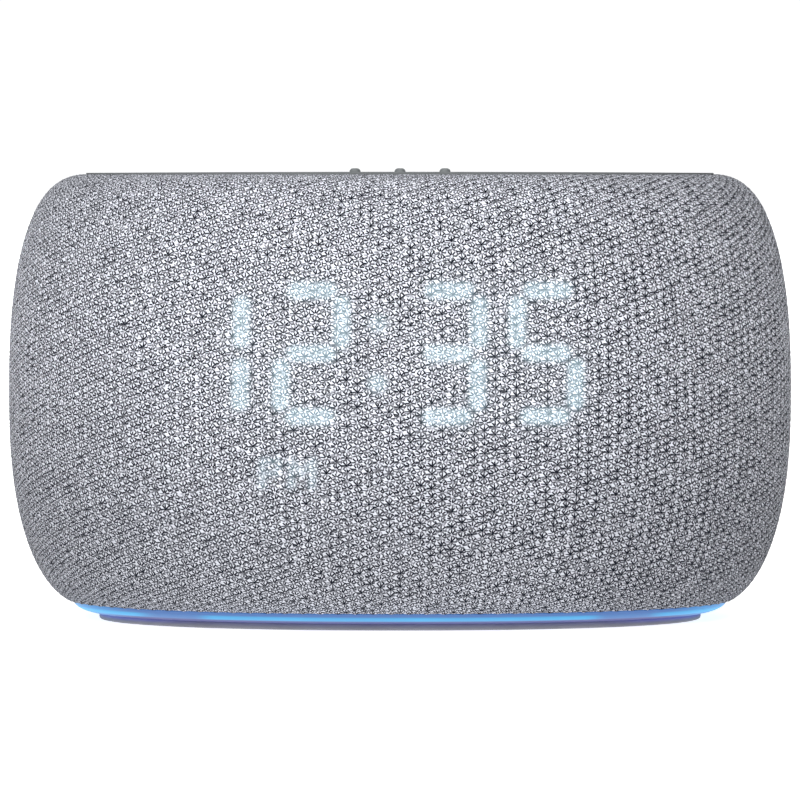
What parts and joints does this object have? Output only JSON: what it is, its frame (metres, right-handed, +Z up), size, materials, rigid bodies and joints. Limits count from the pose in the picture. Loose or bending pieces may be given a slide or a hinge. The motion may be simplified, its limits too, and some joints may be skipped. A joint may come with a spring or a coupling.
{
  "type": "smart speaker",
  "caption": "Fabric-covered desktop smart speaker with a clock display behind the knit, a light ring round its base and keys in its top panel.",
  "frame": {"origin": "centre of the rubber foot's underside, on the surface the speaker stands on", "axes": "+Z up, -Y out of the front (the display side), +X to the right as seen from the front"},
  "size_m": [0.2, 0.116, 0.1152],
  "materials": {
    "knit_fabric": "coarse two-tone knit, light grey yarn over dark grey",
    "shell_plastic": "moulded ABS, fine texture",
    "panel_plastic": "soft-touch grey",
    "black_plastic": "moulded ABS, fine texture",
    "white_plastic": "matt white",
    "circuit_board": "solder mask over glass-fibre laminate",
    "steel": "tin-plated or zinc-plated",
    "aluminium": "plain",
    "black_steel": "black e-coat",
    "black_rubber": "matt",
    "foot_rubber": "matt silicone, fine texture",
    "smoked_lens": "smoked acrylic",
    "lit_segments": "diffusing resin, lit from behind",
    "dim_segments": "diffusing resin, lit dimly from behind",
    "unlit_segments": "diffusing resin, unlit",
    "light_guide": "frosted acrylic, lit blue",
    "label_film": "blank polyester label",
    "ribbon": "polyimide film",
    "wire_sheath": "PVC sheath",
    "cone_paper": "coated paper pulp",
    "spider_cloth": "resin-dipped cotton"
  },
  "bodies": {
    "housing": {"antenna_board": "circuit_board", "base_plate": "shell_plastic", "base_screws": "steel", "board_components": "black_plastic", "board_screws": "steel", "casing_screws": "steel", "display_board": "circuit_board", "display_half_day_indicator": "dim_segments", "display_lens": "smoked_lens", "display_lit_segments": "lit_segments", "display_reflector": "white_plastic", "display_ribbon": "ribbon", "display_unlit_segments": "unlit_segments", "driver_screws": "steel", "fabric_sleeve": "knit_fabric", "front_shell": "shell_plastic", "heat_sink": "aluminium", "key_board": "circuit_board", "key_board_ribbon": "ribbon", "key_switches": "black_plastic", "left_driver_basket": "black_steel", "left_driver_magnet": "black_steel", "left_driver_spider": "spider_cloth", "left_driver_surround": "black_rubber", "left_speaker_box": "black_plastic", "light_ring": "light_guide", "light_ring_board": "circuit_board", "light_ring_lead": "ribbon", "light_ring_lights": "lit_segments", "main_board": "circuit_board", "microphone_boots": "black_rubber", "microphones": "steel", "power_jack": "black_plastic", "rating_label": "label_film", "rear_io_panel": "panel_plastic", "rear_shell": "shell_plastic", "right_driver_basket": "black_steel", "right_driver_magnet": "black_steel", "right_driver_spider": "spider_cloth", "right_driver_surround": "black_rubber", "right_speaker_box": "black_plastic", "rubber_foot": "foot_rubber", "shield_can": "steel", "speaker_leads": "wire_sheath", "top_panel": "panel_plastic", "usb_socket": "steel"},
    "volume_down": {"volume_down_key": "panel_plastic", "volume_down_switch_stem": "white_plastic"},
    "action": {"action_key": "panel_plastic", "action_switch_stem": "white_plastic"},
    "volume_up": {"volume_up_key": "panel_plastic", "volume_up_switch_stem": "white_plastic"},
    "left_cone": {"left_driver_cone": "cone_paper"},
    "right_cone": {"right_driver_cone": "cone_paper"}
  },
  "joints": [
    {"name": "volume_down_press", "type": "slide", "parent": "housing", "child": "volume_down", "axis": [0, 0, -1], "range_m": [0, 0.0006], "stiffness_N_per_m": 2600},
    {"name": "action_press", "type": "slide", "parent": "housing", "child": "action", "axis": [0, 0, -1], "range_m": [0, 0.0006], "stiffness_N_per_m": 2600},
    {"name": "volume_up_press", "type": "slide", "parent": "housing", "child": "volume_up", "axis": [0, 0, -1], "range_m": [0, 0.0006], "stiffness_N_per_m": 2600},
    {"name": "left_cone_stroke", "type": "slide", "parent": "housing", "child": "left_cone", "axis": [-0.7071, -0.7071, 0], "range_m": [-0.0015, 0.0015], "stiffness_N_per_m": 1000, "deforming": ["left_driver_surround", "left_driver_spider"]},
    {"name": "right_cone_stroke", "type": "slide", "parent": "housing", "child": "right_cone", "axis": [0.7071, -0.7071, 0], "range_m": [-0.0015, 0.0015], "stiffness_N_per_m": 1000, "deforming": ["right_driver_surround", "right_driver_spider"]}
  ]
}
